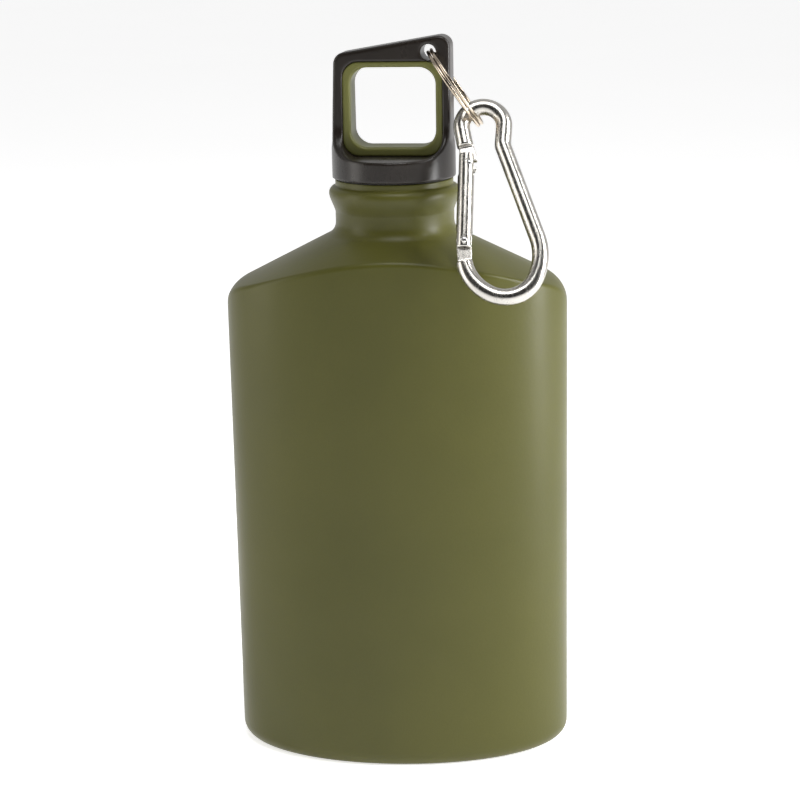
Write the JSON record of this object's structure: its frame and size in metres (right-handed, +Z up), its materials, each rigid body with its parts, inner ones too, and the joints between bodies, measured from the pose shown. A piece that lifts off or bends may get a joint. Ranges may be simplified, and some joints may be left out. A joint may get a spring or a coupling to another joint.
{
  "type": "canteen",
  "caption": "Flat oval metal canteen with a screw stopper that has a finger loop, and a spring-gate snap hook hung from it on a split ring.",
  "frame": {"origin": "centre of the flask at the level it stands on", "axes": "+Z up along the neck, +X along the flask's width, -Y towards the front, where the snap hook hangs"},
  "size_m": [0.096, 0.0652, 0.2043],
  "materials": {
    "flask_paint": "satin powder coat",
    "insert_plastic": "moulded",
    "cap_plastic": "satin moulded",
    "liner_plastic": "satin moulded",
    "plug_plastic": "moulded",
    "seal_rubber": "matte",
    "ring_nickel": "polished nickel",
    "hook_aluminium": "tumbled bright",
    "pin_steel": "riveted over",
    "plunger_brass": "turned",
    "spring_steel": "drawn wire"
  },
  "bodies": {
    "flask": {"flask_shell": "flask_paint", "neck_thread_insert": "insert_plastic"},
    "seal": {"sealing_ring": "seal_rubber"},
    "stopper": {"cap_shell": "cap_plastic", "cap_loop_liner": "liner_plastic", "stopper_plug": "plug_plastic"},
    "key_ring": {"split_ring": "ring_nickel"},
    "hook": {"carabiner_frame": "hook_aluminium"},
    "gate": {"carabiner_gate": "hook_aluminium", "gate_pivot_pin": "pin_steel", "gate_latch_pin": "pin_steel", "gate_plunger": "plunger_brass", "gate_spring": "spring_steel"}
  },
  "joints": [
    {"name": "cap_rise", "type": "slide", "parent": "flask", "child": "seal", "axis": [0, 0, 1], "range_m": [0, 0.016]},
    {"name": "cap_unscrew", "type": "hinge", "parent": "seal", "child": "stopper", "pos_m": [0, 0, 0.165], "axis": [0, 0, 1], "range_deg": [0, 1440]},
    {"name": "ring_swing", "type": "hinge", "parent": "stopper", "child": "key_ring", "pos_m": [0.01056, -0.00092, 0.1999], "axis": [-0.0872, -0.9962, 0], "range_deg": [0, 100]},
    {"name": "hook_swing", "type": "hinge", "parent": "key_ring", "child": "hook", "pos_m": [0.02323, -0.00952, 0.18188], "axis": [-0.2899, -0.8216, 0.4909], "range_deg": [0, 60]},
    {"name": "gate_open", "type": "hinge", "parent": "hook", "child": "gate", "pos_m": [0.02015, -0.02758, 0.15167], "axis": [0, 0.8517, -0.524], "range_deg": [0, 12], "stiffness_Nm_per_rad": 0.02, "springref_deg": -34.38}
  ],
  "couplings": [
    {"joint": "cap_rise", "follows": "cap_unscrew", "m_per_rad": 0.0006366}
  ]
}
